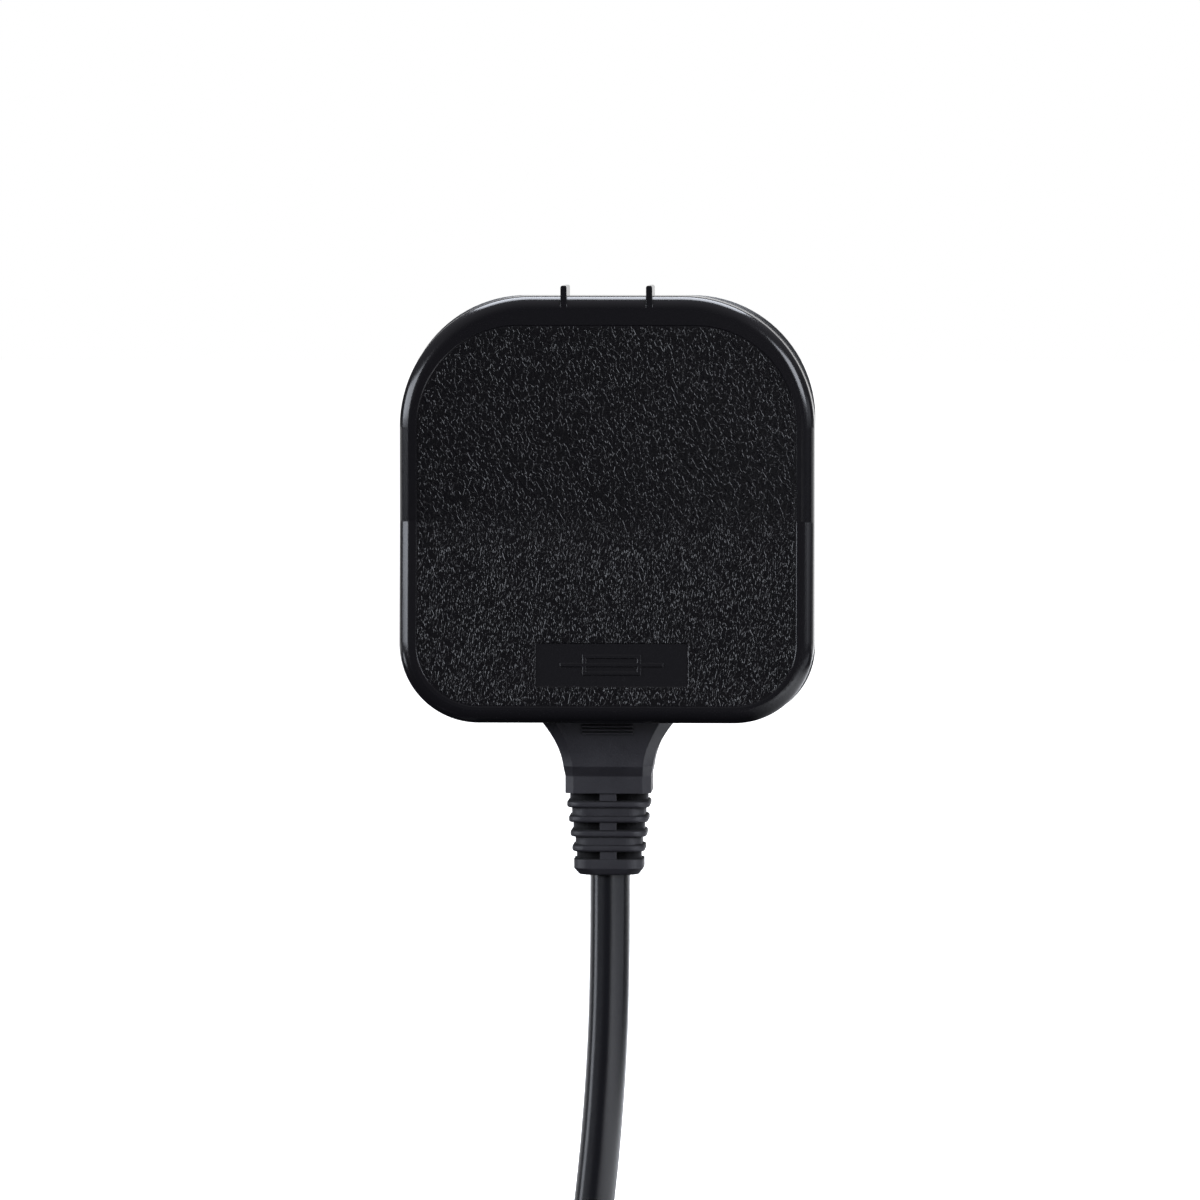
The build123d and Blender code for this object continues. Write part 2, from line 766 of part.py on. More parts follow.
# Spring contacts for the inner plug's pins, each a channel with a tail through the plate
channel_back = plug_depth - plug_pin_radius - contact_gap - sheet
channel_width = 2 * (plug_pin_radius + contact_gap)
channel_front = plug_depth + contact_reach
for side, name in ((-1, "neutral_contact"), (1, "line_contact")):
    tail_start = clip_back_depth if side < 0 else strap_depth
    with BuildPart() as contact:
        with BuildSketch(Plane.XY.offset(contact_bottom_z)):
            with Locations((side * contact_x, -(channel_back + channel_front) / 2)):
                Rectangle(channel_width + 2 * sheet, channel_front - channel_back)
            with Locations((side * contact_x, -(channel_back + sheet + channel_front) / 2)):
                Rectangle(channel_width, channel_front - channel_back - sheet, mode=Mode.SUBTRACT)
        extrude(amount=contact_height)
        with BuildSketch(front(tail_start)):
            with Locations((side * contact_x, tail_z)):
                Rectangle(strap_width, sheet)
        extrude(amount=channel_back + sheet - tail_start)
        if side < 0:
            with BuildSketch(front(clip_back_depth)):
                with BuildLine():
                    Polyline(
                        (-contact_x, tail_z),
                        (-contact_x, neutral_strap_z),
                        (neutral_strap_x, neutral_strap_z),
                        (neutral_strap_x, pin_row_z),
                        (-pin_offset, pin_row_z),
                    )
                trace(line_width=strap_width)
                with Locations((-contact_x, tail_z), (-pin_offset, pin_row_z)):
                    Rectangle(strap_width, strap_width)
            extrude(amount=sheet)
    write(contact, name)

# Socket block: guides the inner plug's pins and holds the contacts in pockets open to the plate
with BuildPart() as socket_block:
    with BuildSketch(front(plate_front)) as block_outline:
        with Locations((0, engagement_z + block_height / 2)):
            Rectangle(block_width, block_height)
        fillet(block_outline.vertices().group_by(Axis.Y)[-1], radius=block_corner)
    extrude(amount=plug_thickness)
    with BuildSketch(Plane.XY.offset(engagement_z)):
        with Locations((-contact_x, -plug_depth), (contact_x, -plug_depth)):
            Circle(block_bore_radius)
    extrude(amount=block_height - block_top_wall, mode=Mode.SUBTRACT)
    with BuildSketch(front(plate_front)):
        with Locations((0, (pocket_bottom_z + pocket_top_z) / 2)):
            with GridLocations(2 * contact_x, 0, 2, 1):
                Rectangle(pocket_width, pocket_top_z - pocket_bottom_z)
    extrude(amount=pocket_depth, mode=Mode.SUBTRACT)
write(socket_block, "socket_block")

# Inner plug: bevelled body, flared neck, stepped root, segmented strain relief and end bell
pin_lean = degrees(atan((plug_pin_spacing - plug_pin_tip_spacing) / 2 / plug_pin_length))


def leaning_plane(side, along):
    """The plane across one of the inner plug's pins, at a distance from the engagement face."""
    lean = radians(pin_lean)
    direction = Vector(-side * sin(lean), 0, cos(lean))
    foot = Vector(side * plug_pin_spacing / 2, -plug_depth, engagement_z)
    return Plane(origin=foot + direction * along, x_dir=(0, -1, 0), z_dir=direction)


with BuildPart() as inner_plug:
    body_section = plug_section(shoulder_z, plug_width, plug_thickness, plug_bevel)
    extrude(body_section, amount=engagement_z - shoulder_z)
    neck_section = plug_section(neck_z, neck_width, neck_thickness, neck_bevel)
    loft([body_section, neck_section], ruled=True)
    chin_section = plug_section(chin_z, chin_width, chin_thickness, chin_bevel)
    loft(
        [
            neck_section,
            plug_section(exit_z, exit_width, exit_thickness, exit_bevel),
            plug_section(waist_z, waist_width, waist_thickness, waist_bevel),
            chin_section,
        ]
    )
    loft([chin_section, plug_section(root_z, root_width, root_thickness, root_bevel)], ruled=True)
    extrude(plug_section(root_z, root_width, root_thickness, root_bevel), amount=root_bottom_z - root_z)
    for count in range(grip_rib_count):
        with BuildSketch(Plane.XY.offset(grip_rib_top_z - count * grip_rib_pitch)):
            with Locations((0, -plug_depth)):
                rib_span = exit_thickness + 2 * grip_rib_height - count * grip_rib_height
                Rectangle(grip_rib_width, rib_span)
        extrude(amount=-grip_rib_thickness)
    level = root_bottom_z
    for segment in range(relief_segments + 1):
        width = relief_top_width - relief_taper * (root_bottom_z - level)
        thickness = relief_flatness * width
        slot_core = relief_section(level, width - 2 * slot_core_edge, thickness * slot_core_share)
        extrude(slot_core, amount=-slot_height)
        with BuildSketch(Plane.XY.offset(level)):
            with Locations((0, -plug_depth)):
                Rectangle(bridge_width, thickness - 2 * bridge_set_back)
        extrude(amount=-slot_height)
        level -= slot_height
        if segment < relief_segments:
            for part, height in enumerate((ring_height, side_groove_height, ring_height)):
                width = relief_top_width - relief_taper * (root_bottom_z - level)
                thickness = relief_flatness * width
                if part == 1:
                    width -= 2 * side_groove_depth
                    thickness -= 2 * front_groove_depth
                with BuildPart(mode=Mode.PRIVATE) as ring:
                    extrude(relief_section(level, width, thickness), amount=-height)
                    if part != 1:
                        fillet(ring.edges().filter_by(Axis.Z, reverse=True), ring_rounding)
                add(ring.part)
                level -= height
    bell_width = relief_top_width - relief_taper * (root_bottom_z - level)
    bell_section = relief_section(level, bell_width, relief_flatness * bell_width)
    extrude(bell_section, amount=-bell_shoulder)
    with BuildSketch(Plane.XY.offset(bell_bottom_z)) as bell_end:
        with Locations((0, -plug_depth)):
            RectangleRounded(bell_end_width, bell_end_thickness, bell_end_corner)
    shoulder = relief_section(level - bell_shoulder, bell_width, relief_flatness * bell_width)
    loft([shoulder, bell_end.sketch], ruled=True)
    with BuildSketch(Plane.XY.offset(bell_bottom_z)):
        with Locations((cord_route[0][0], -plug_depth)):
            Circle(cord_radius + bell_recess_gap)
    extrude(amount=bell_recess, mode=Mode.SUBTRACT)
    for side in (-1, 1):
        with BuildSketch(leaning_plane(side, -plug_pin_root)):
            Circle(plug_pin_radius + pin_fit)
        extrude(amount=2 * plug_pin_root, mode=Mode.SUBTRACT)
write(inner_plug, "inner_plug")

for side, name in ((-1, "plug_pin_left"), (1, "plug_pin_right")):
    with BuildPart() as plug_pin:
        with BuildSketch(leaning_plane(side, -plug_pin_root)):
            Circle(plug_pin_radius)
        extrude(amount=plug_pin_root)
        with BuildSketch(leaning_plane(side, 0)):
            Circle(plug_pin_radius - plug_pin_sleeve_wall)
        extrude(amount=plug_pin_sleeve_length)
        with BuildSketch(leaning_plane(side, plug_pin_sleeve_length)):
            Circle(plug_pin_radius)
        extrude(amount=plug_pin_length - plug_pin_sleeve_length)
        fillet(plug_pin.edges().sort_by(Axis.Z)[-1], plug_pin_tip_rounding)
    write(plug_pin, name)
    with BuildPart() as plug_pin_sleeve:
        with BuildSketch(leaning_plane(side, 0)):
            Circle(plug_pin_radius)
            Circle(plug_pin_radius - plug_pin_sleeve_wall + pin_fit / 2, mode=Mode.SUBTRACT)
        extrude(amount=plug_pin_sleeve_length)
    write(plug_pin_sleeve, name + "_sleeve")

# Cord: straight runs joined by arcs as large as the runs allow
route = [Vector(x, -plug_depth, z) for x, z in cord_route]
runs = [after - before for before, after in zip(route, route[1:])]
bend_radii = []
room = [bend_share * run.length for run in runs]
room[-1] *= 2
for corner in range(len(runs) - 1):
    half_turn = radians(runs[corner].get_angle(runs[corner + 1])) / 2
    bend_radii.append(min(room[corner], room[corner + 1]) / tan(half_turn))
print("cord bend radii", [round(radius, 1) for radius in bend_radii])
with BuildPart() as cord:
    with BuildLine() as cord_line:
        FilletPolyline(*route, radius=bend_radii)
    with BuildSketch(Plane(origin=route[0], z_dir=runs[0])):
        Circle(cord_radius)
    sweep()
tube_length = cord_line.wires()[0].length
print("cord tube length", round(tube_length, 1))
print("cord tube volume share", round(cord.part.volume / (pi * cord_radius**2 * tube_length), 4))
write(cord, "cord")

# Coil: the outer shape of the tied turns, with the stub by which the cord comes in and the end
# that rises over the turns to the connector lying on them
coil_centre = Vector(coil_x, coil_y, coil_mid_z)
exit_start = Vector(coil_x, coil_y - coil_outer_turn, coil_top_turn_z)
exit_corner = exit_start + Vector(exit_corner_x, 0, exit_rise)
connector_rest = Vector(exit_corner_x, -connector_from_middle, connector_height)
connector_start = Vector(coil_x, coil_y, coil_top_turn_z) + connector_rest
with BuildPart() as cord_coil:
    with BuildSketch(Plane.XZ.offset(-coil_y)):
        with Locations((coil_x + coil_mean_radius, coil_mid_z)):
            RectangleRounded(coil_width, coil_height, coil_rounding)
    revolve(axis=Axis(coil_centre, (0, 0, 1)))
    with BuildSketch(Plane(origin=route[-1], z_dir=(-1, 0, 0))):
        Circle(cord_radius)
    extrude(amount=entry_stub)
    with BuildLine():
        FilletPolyline(exit_start, exit_corner, connector_start, radius=exit_bend)
    with BuildSketch(Plane(origin=exit_start, z_dir=exit_corner - exit_start)):
        Circle(cord_radius)
    sweep()
write(cord_coil, "cord_coil")

# Tie: a strap closed round the coil's section
with BuildPart() as cord_tie:
    tie_start = radians(tie_direction - tie_arc / 2)
    radial = Vector(cos(tie_start), sin(tie_start), 0)
    tie_centre = coil_centre + radial * coil_mean_radius
    across = (sin(tie_start), -cos(tie_start), 0)
    with BuildSketch(Plane(origin=tie_centre, x_dir=radial, z_dir=across)):
        for offset, mode in ((tie_gap + tie_wall, Mode.ADD), (tie_gap, Mode.SUBTRACT)):
            width = coil_width + 2 * offset
            height = coil_height + 2 * offset
            RectangleRounded(width, height, coil_rounding + offset, mode=mode)
    revolve(axis=Axis(coil_centre, (0, 0, 1)), revolution_arc=tie_arc)
write(cord_tie, "cord_tie")

# Appliance connector: ringed tail, waisted grip and a figure-of-eight nose with two sockets
connector_direction = (0, cos(radians(connector_tilt)), sin(radians(connector_tilt)))
connector = Plane(origin=connector_start, x_dir=(1, 0, 0), z_dir=connector_direction)
nose_face = tail_length + grip_length + nose_length
with BuildPart() as connector_body:
    with BuildSketch(connector):
        Circle(tail_start_radius)
    with BuildSketch(connector.offset(tail_length)):
        Circle(tail_end_radius)
    loft()
    for count in range(tail_rings):
        ring_start = (count + 0.5) * tail_length / (tail_rings + 0.5)
        share = ring_start / tail_length
        ring_radius = tail_start_radius + share * (tail_end_radius - tail_start_radius) + tail_ring_rim
        with BuildSketch(connector.offset(ring_start)):
            Circle(ring_radius)
        extrude(amount=tail_ring_thickness)
    with BuildSketch(connector.offset(tail_length)):
        RectangleRounded(grip_root_width, grip_waist_thickness, grip_corner)
    with BuildSketch(connector.offset(tail_length + grip_waist_at)):
        RectangleRounded(grip_waist_width, grip_waist_thickness, grip_corner)
    with BuildSketch(connector.offset(tail_length + grip_length)):
        RectangleRounded(grip_width, grip_thickness, grip_corner)
    loft()
    with BuildSketch(connector.offset(tail_length + grip_length)):
        with GridLocations(nose_pitch, 0, 2, 1):
            Circle(nose_radius)
        Rectangle(nose_pitch, nose_web)
    extrude(amount=nose_length)
    with BuildSketch(connector.offset(nose_face)):
        with GridLocations(nose_pitch, 0, 2, 1):
            Circle(socket_radius + socket_wall + socket_fit)
    extrude(amount=-socket_recess - socket_length, mode=Mode.SUBTRACT)
write(connector_body, "connector_body")
for side, name in ((-1, "connector_contact_left"), (1, "connector_contact_right")):
    with BuildPart() as connector_contact:
        with BuildSketch(connector.offset(nose_face - socket_recess)):
            with Locations((side * nose_pitch / 2, 0)):
                Circle(socket_radius + socket_wall)
                Circle(socket_radius, mode=Mode.SUBTRACT)
        extrude(amount=-socket_length)
    write(connector_contact, name)
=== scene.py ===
"""Dresses the fused conversion plug and its thin round lead, and lights it as a product on white.

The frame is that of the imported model: the pin face lies on y = 0, the pins point along +Y, and the camera
looks along +Y from in front of the cover. Sizes are in millimetres, apart from the lamps' places and
sizes, which are in metres.
"""
import math

import bpy
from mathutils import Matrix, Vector


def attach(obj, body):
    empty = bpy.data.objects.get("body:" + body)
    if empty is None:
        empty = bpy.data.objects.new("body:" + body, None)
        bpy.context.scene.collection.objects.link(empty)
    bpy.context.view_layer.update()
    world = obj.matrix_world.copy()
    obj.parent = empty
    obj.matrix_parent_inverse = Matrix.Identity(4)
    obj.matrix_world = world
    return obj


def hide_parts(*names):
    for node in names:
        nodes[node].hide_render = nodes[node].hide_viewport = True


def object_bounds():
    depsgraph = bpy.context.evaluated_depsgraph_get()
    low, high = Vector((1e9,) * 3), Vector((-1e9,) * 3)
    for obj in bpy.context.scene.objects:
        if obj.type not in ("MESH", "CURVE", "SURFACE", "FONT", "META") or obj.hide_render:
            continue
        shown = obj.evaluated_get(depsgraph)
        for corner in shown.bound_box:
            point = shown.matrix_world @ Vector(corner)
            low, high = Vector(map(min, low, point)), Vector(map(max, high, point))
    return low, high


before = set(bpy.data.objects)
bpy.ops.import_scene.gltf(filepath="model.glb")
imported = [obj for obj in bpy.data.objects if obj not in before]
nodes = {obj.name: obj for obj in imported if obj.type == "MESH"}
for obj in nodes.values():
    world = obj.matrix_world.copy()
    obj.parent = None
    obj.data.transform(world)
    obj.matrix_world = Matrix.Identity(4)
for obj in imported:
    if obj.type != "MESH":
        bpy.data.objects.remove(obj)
cad_low, cad_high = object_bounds()
MM = 0.001

# Housing, in the front view
COVER_WIDTH = 50.0
COVER_HEIGHT = 51.4
TOP_CORNER = 15.8
BOTTOM_CORNER = 9.6
FRONT_DEPTH = 26.495
PLUG_DEPTH = 17.445
PANEL_SIDE_BORDER = 2.1
PANEL_TOP_BORDER = 3.5
PANEL_BOTTOM_BORDER = 2.0
PANEL_FADE = 0.35
COVER_EDGE = 0.12

# Smooth plate near the cover's lower edge
PLATE_X = 0.7
PLATE_Z = -18.65
PLATE_WIDTH = 18.5
PLATE_HEIGHT = 5.3
PLATE_CORNER = 0.25
PLATE_FADE = 0.12

# Grain of the panel: flats longer than wide, which turn finer from one height down to another
FLATS_PER_MM = 2.4
FLAT_STRETCH = 1.9
FLAT_LEAN = 0.4
FINE_FLATS_PER_MM = 3.4
FINE_FLAT_STRETCH = 2.0
FINE_FLATS_BEGIN = 1.0
FINE_FLATS_FULL = -5.0
FLAT_HEIGHT = 0.042

# Values between which a noise mostly stays
NOISE_LOW = 0.3
NOISE_HIGH = 0.7

# Slots of moulded parts: how far their shade reaches, and what it leaves of the colour
SLOT_REACH = 1.6
SLOT_SHADE = 0.12

# Weave of the tie: radians for each millimetre, which puts its threads half a millimetre apart
WEAVE_PER_MM = 12.6

# Cord, with x and z of its route, in the plane of the inner plug
CORD_DIAMETER = 4.9
CORD_ROUTE = (
    (0.1, -43.31),
    (0.1, -56.0),
    (-0.4, -69.5),
    (-1.75, -85.0),
    (-4.4, -102.5),
    (-12.9, -114.2),
    (-25.8, -120.8),
)

# Coil: four turns across in two layers, with the climb between them counted in turns
COIL_X = -53.3
COIL_Y = -52.295
COIL_OUTER_TURN = 34.85
COIL_TURNS_ACROSS = 4
COIL_TURNS = 7.5
COIL_BOTTOM_Z = -120.8
COIL_TOP_Z = -115.9
CLIMB_FROM = 3.5
CLIMB_TO = 4.0
CLIMB_DIP = 0.8
POINTS_PER_TURN = 16
HALF_STEP = math.pi / POINTS_PER_TURN

# Way out to the connector, measured from the middle of the coil and from its upper layer
LAST_TURN_RISE = 1.55
EXIT_X = 22.0
EXIT_BEND = 21.0
EXIT_RISES = (3.56, 4.96, 6.15, 6.85, 7.15, 7.2)
EXIT_END = (-9.7, -8.4)

# Floor, and where gloss sees its white paper: far behind the object, and in a strip at its right
FLOOR_HALF_WIDTH = 6000.0
FLOOR_GAP = 0.2
FAR_PAPER = (300.0, 700.0)
STRIP_STARTS = (40.0, 160.0)
STRIP_ENDS = (240.0, 360.0)
STRIP_WHITE = 0.8

# Lamps and camera: the angles are in degrees, and the frame's width is taken at the cover's front
LAMP_TINT = "#f0f5ff"
CAMERA_TARGET = (-0.75, -FRONT_DEPTH, -10.87)
CAMERA_AZIMUTH = 2.5
CAMERA_ELEVATION = 3.0
CAMERA_DISTANCE = 1000.0
FRAME_WIDTH = 144.5


def colour(hex_code):
    """A written sRGB colour as the linear one that a shader takes."""
    channels = [int(hex_code[i:i + 2], 16) / 255 for i in (1, 3, 5)]
    return (*[c / 12.92 if c <= 0.04045 else ((c + 0.055) / 1.055) ** 2.4 for c in channels], 1.0)


def add(tree, kind, inputs=None, out=0, **settings):
    """Adds one node with its settings, and its inputs as plain values or links, and gives an output."""
    made = tree.nodes.new("ShaderNode" + kind)
    for name, value in settings.items():
        setattr(made, name, value)
    for name, value in (inputs or {}).items():
        if isinstance(value, bpy.types.NodeSocket):
            tree.links.new(value, made.inputs[name])
        else:
            made.inputs[name].default_value = value
    return made.outputs[out] if len(made.outputs) else None


def start_finish(name):
    """A material with an empty tree, and the object's own millimetres as its coordinates."""
    material = bpy.data.materials.new(name)
    material.use_nodes = True
    tree = material.node_tree
    tree.nodes.clear()
    place = add(tree, "TexCoord", out="Object")
    millimetres = add(tree, "VectorMath", {0: place, "Scale": 1000.0}, operation="SCALE")
    return material, tree, millimetres


def moulded_edges(tree, radius, relief, depth):
    """The surface's direction with its edges rounded, and a relief of a depth in millimetres on it."""
    rounded = add(tree, "Bevel", {"Radius": radius * MM}, samples=6)
    return add(tree, "Bump", {"Strength": 1.0, "Distance": depth * MM, "Height": relief, "Normal": rounded})


def end_finish(tree, base, roughness, direction, **fixed):
    """The shader: colour, roughness and direction may be linked, all else is a plain number."""
    inputs = {"Base Color": base, "Roughness": roughness, "Normal": direction}
    for name, value in fixed.items():
        inputs[name.replace("_", " ").title().replace("Ior", "IOR")] = value
    add(tree, "OutputMaterial", {"Surface": add(tree, "BsdfPrincipled", inputs)})


def inside_outline(tree, place, centre, half_size, corner_above, corner_below, fade):
    """1 inside a round-cornered field of the front view and 0 outside, over a fade in millimetres."""
    x = add(tree, "SeparateXYZ", {0: place}, out=0)
    z = add(tree, "SeparateXYZ", {0: place}, out=2)
    above = add(tree, "Math", {0: z, 1: centre[1]}, operation="GREATER_THAN")
    corner = add(
        tree, "Math", {0: above, 1: corner_above - corner_below, 2: corner_below}, operation="MULTIPLY_ADD"
    )
    past = []
    for value, middle, half in ((x, centre[0], half_size[0]), (z, centre[1], half_size[1])):
        offset = add(tree, "Math", {0: value, 1: middle}, operation="SUBTRACT")
        offset = add(tree, "Math", {0: offset}, operation="ABSOLUTE")
        offset = add(tree, "Math", {0: offset, 1: half}, operation="SUBTRACT")
        past.append(add(tree, "Math", {0: offset, 1: corner}, operation="ADD"))
    squares = []
    for value in past:
        outside = add(tree, "Math", {0: value, 1: 0.0}, operation="MAXIMUM")
        squares.append(add(tree, "Math", {0: outside, 1: 2.0}, operation="POWER"))
    length = add(tree, "Math", {0: squares[0], 1: squares[1]}, operation="ADD")
    length = add(tree, "Math", {0: length}, operation="SQRT")
    within = add(tree, "Math", {0: past[0], 1: past[1]}, operation="MAXIMUM")
    within = add(tree, "Math", {0: within, 1: 0.0}, operation="MINIMUM")
    distance = add(tree, "Math", {0: length, 1: within}, operation="ADD")
    distance = add(tree, "Math", {0: distance, 1: corner}, operation="SUBTRACT")
    inputs = {"Value": distance, "From Min": -fade, "From Max": 0.0, "To Min": 1.0, "To Max": 0.0}
    return add(tree, "MapRange", inputs, interpolation_type="SMOOTHSTEP")


def panel_fields(tree, place):
    """Two fields: 1 on the cover's sunk panel, and 1 on its grained part, all of it but the plate."""
    panel = inside_outline(
        tree,
        place,
        (0.0, (PANEL_BOTTOM_BORDER - PANEL_TOP_BORDER) / 2),
        (COVER_WIDTH / 2 - PANEL_SIDE_BORDER, (COVER_HEIGHT - PANEL_TOP_BORDER - PANEL_BOTTOM_BORDER) / 2),
        TOP_CORNER - PANEL_TOP_BORDER,
        BOTTOM_CORNER - PANEL_BOTTOM_BORDER,
        PANEL_FADE,
    )
    plate = inside_outline(
        tree,
        place,
        (PLATE_X, PLATE_Z),
        (PLATE_WIDTH / 2, PLATE_HEIGHT / 2),
        PLATE_CORNER,
        PLATE_CORNER,
        PLATE_FADE,
    )
    bare = add(tree, "Math", {0: 1.0, 1: plate}, operation="SUBTRACT")
    return panel, add(tree, "Math", {0: panel, 1: bare}, operation="MULTIPLY")


def spark_grain(tree, place):
    """Steep-sided flats, most of a millimetre long and leaning a little, as the etched mould leaves them."""
    leaning = add(
        tree,
        "Mapping",
        {"Vector": place, "Rotation": (0.0, -FLAT_LEAN, 0.0), "Scale": (1.0, 1.0, FLAT_STRETCH)},
        vector_type="TEXTURE",
    )
    flats = add(
        tree, "TexNoise", {"Vector": leaning, "Scale": FLATS_PER_MM, "Detail": 1.0, "Roughness": 0.5}
    )
    steps = {"Value": flats, "From Min": 0.46, "From Max": 0.56}
    flats = add(tree, "MapRange", steps, interpolation_type="SMOOTHSTEP")
    # Below the middle the flats are finer, denser and upright, and the turn hides the noise's own rows
    stretched = (1.0, 1.0, 1.0 / FINE_FLAT_STRETCH)
    upright = add(tree, "Mapping", {"Vector": place, "Rotation": (0.6, 0.3, 0.5), "Scale": stretched})
    fine = add(tree, "TexNoise", {"Vector": upright, "Scale": FINE_FLATS_PER_MM, "Detail": 0.0})
    fine = add(tree, "MapRange", {"Value": fine, "From Min": 0.45, "From Max": 0.56, "To Max": 0.9})
    share = {
        "Value": add(tree, "SeparateXYZ", {0: place}, out=2),
        "From Min": FINE_FLATS_FULL,
        "From Max": FINE_FLATS_BEGIN,
        "To Min": 0.9,
        "To Max": 0.1,
    }
    return add(tree, "Mix", {0: add(tree, "MapRange", share), 2: flats, 3: fine}, data_type="FLOAT")


def spark_textured_abs():
    """Black ABS: a leather-like field from spark erosion of the mould, in a polished border."""
    material, tree, place = start_finish("spark_textured_black_abs")
    panel, grained = panel_fields(tree, place)
    relief = add(tree, "Math", {0: spark_grain(tree, place), 1: grained}, operation="MULTIPLY")
    # The polished border still carries the faint waves of moulding shrinkage
    waves = add(tree, "TexNoise", {"Vector": place, "Scale": 0.09, "Detail": 1.0})
    relief = add(tree, "Math", {0: waves, 1: 0.12, 2: relief}, operation="MULTIPLY_ADD")
    direction = moulded_edges(tree, COVER_EDGE, relief, FLAT_HEIGHT)
    base = add(
        tree, "Mix", {0: grained, 6: colour("#19181b"), 7: colour("#0d0c0f")}, out=2, data_type="RGBA"
    )
    polish = add(tree, "Math", {0: panel, 1: 0.08, 2: 0.17}, operation="MULTIPLY_ADD")
    end_finish(tree, base, polish, direction, ior=1.53, specular_ior_level=0.45)
    return material


def grained_plastic(name, dark, light, grain_per_mm, grain_depth, rough, edge, level=0.5):
    """Moulded plastic: an even grain, a slow cloud in its colour and its gloss, soft edges, painted shade
    and dull gloss in slots.
    """
    material, tree, place = start_finish(name)
    grain = add(tree, "TexNoise", {"Vector": place, "Scale": grain_per_mm, "Detail": 3.0, "Roughness": 0.6})
    cloud = add(tree, "TexNoise", {"Vector": place, "Scale": 0.3, "Detail": 2.0})
    relief = add(tree, "Math", {0: cloud, 1: 0.8, 2: grain}, operation="MULTIPLY_ADD")
    direction = moulded_edges(tree, edge, relief, grain_depth)
    base = add(tree, "Mix", {0: cloud, 6: colour(dark), 7: colour(light)}, out=2, data_type="RGBA")
    # Painted shade: the part's own occlusion darkens the colour towards the bottom of slots and recesses,
    # where less light reaches, and dulls the gloss there
    openness = add(
        tree, "AmbientOcclusion", {"Distance": SLOT_REACH * MM}, out=1, samples=6, only_local=True
    )
    openness = add(tree, "MapRange", {"Value": openness, "From Min": 0.5, "From Max": 0.9})
    shade = add(tree, "MapRange", {"Value": openness, "To Min": SLOT_SHADE, "To Max": 1.0})
    base = add(tree, "Mix", {0: 1.0, 6: base, 7: shade}, out=2, data_type="RGBA", blend_type="MULTIPLY")
    gloss = {
        "Value": cloud,
        "From Min": NOISE_LOW,
        "From Max": NOISE_HIGH,
        "To Min": rough - 0.05,
        "To Max": rough + 0.05,
    }
    gloss = add(tree, "MapRange", gloss)
    gloss = add(tree, "Mix", {0: openness, 2: 0.95, 3: gloss}, data_type="FLOAT")
    end_finish(tree, base, gloss, direction, ior=1.53, specular_ior_level=level)
    return material


def extruded_vinyl():
    """Black PVC jacket: glossier than the moulded plug, with the slight waves of the cores in it."""
    material, tree, place = start_finish("extruded_black_vinyl")
    drawn = add(tree, "Mapping", {"Vector": place, "Scale": (1.0, 1.0, 0.25)})
    waves = add(tree, "TexNoise", {"Vector": drawn, "Scale": 0.16, "Detail": 2.0})
    grain = add(tree, "TexNoise", {"Vector": place, "Scale": 6.0, "Detail": 2.0})
    relief = add(tree, "Math", {0: waves, 1: 30.0, 2: grain}, operation="MULTIPLY_ADD")
    direction = add(tree, "Bump", {"Strength": 1.0, "Distance": 0.003 * MM, "Height": relief})
    base = add(
        tree, "Mix", {0: waves, 6: colour("#19191c"), 7: colour("#1f1f23")}, out=2, data_type="RGBA"
    )
    gloss = {
        "Value": grain,
        "From Min": NOISE_LOW,
        "From Max": NOISE_HIGH,
        "To Min": 0.2,
        "To Max": 0.25,
    }
    end_finish(tree, base, add(tree, "MapRange", gloss), direction, ior=1.54)
    return material


def drawn_metal(name, dark, light, rough, draw=(1.0, 0.04, 1.0)):
    """Drawn or rolled metal: fine lines along the draw, duller where it was handled."""
    material, tree, place = start_finish(name)
    along = add(tree, "Mapping", {"Vector": place, "Scale": draw})
    lines = add(tree, "TexNoise", {"Vector": along, "Scale": 9.0, "Detail": 2.0})
    handled = add(tree, "TexNoise", {"Vector": place, "Scale": 0.4, "Detail": 3.0, "Roughness": 0.6})
    direction = moulded_edges(tree, radius=0.1, relief=lines, depth=0.005)
    base = add(tree, "Mix", {0: handled, 6: colour(dark), 7: colour(light)}, out=2, data_type="RGBA")
    gloss = {
        "Value": handled,
        "From Min": NOISE_LOW,
        "From Max": NOISE_HIGH,
        "To Min": rough,
        "To Max": rough + 0.12,
    }
    end_finish(tree, base, add(tree, "MapRange", gloss), direction, metallic=1.0)
    return material


def glazed_steatite():
    """Ceramic tube under a thin glaze: warm off-white, faintly specked."""
    material, tree, place = start_finish("glazed_steatite")
    specks = add(tree, "TexNoise", {"Vector": place, "Scale": 7.0, "Detail": 2.0})
    specks = add(tree, "MapRange", {"Value": specks, "From Min": 0.68, "From Max": 0.76})
    cloud = add(tree, "TexNoise", {"Vector": place, "Scale": 0.8, "Detail": 2.0})
    base = add(
        tree, "Mix", {0: cloud, 6: colour("#ddd7c7"), 7: colour("#e8e3d6")}, out=2, data_type="RGBA"
    )
    base = add(tree, "Mix", {0: specks, 6: base, 7: colour("#a89f8c")}, out=2, data_type="RGBA")
    direction = add(tree, "Bump", {"Strength": 1.0, "Distance": 0.01 * MM, "Height": cloud})
    end_finish(tree, base, 0.22, direction, ior=1.55)
    return material


def pressed_board():
    """Pressed fibre board: dull straw brown with short fibres in it."""
    material, tree, place = start_finish("pressed_fibre_board")
    short = add(tree, "Mapping", {"Vector": place, "Scale": (0.25, 1.0, 1.4)})
    fibres = add(tree, "TexNoise", {"Vector": short, "Scale": 3.0, "Detail": 3.0, "Roughness": 0.6})
    base = add(
        tree, "Mix", {0: fibres, 6: colour("#9a8664"), 7: colour("#b7a380")}, out=2, data_type="RGBA"
    )
    direction = moulded_edges(tree, radius=0.08, relief=fibres, depth=0.02)
    end_finish(tree, base, 0.7, direction)
    return material


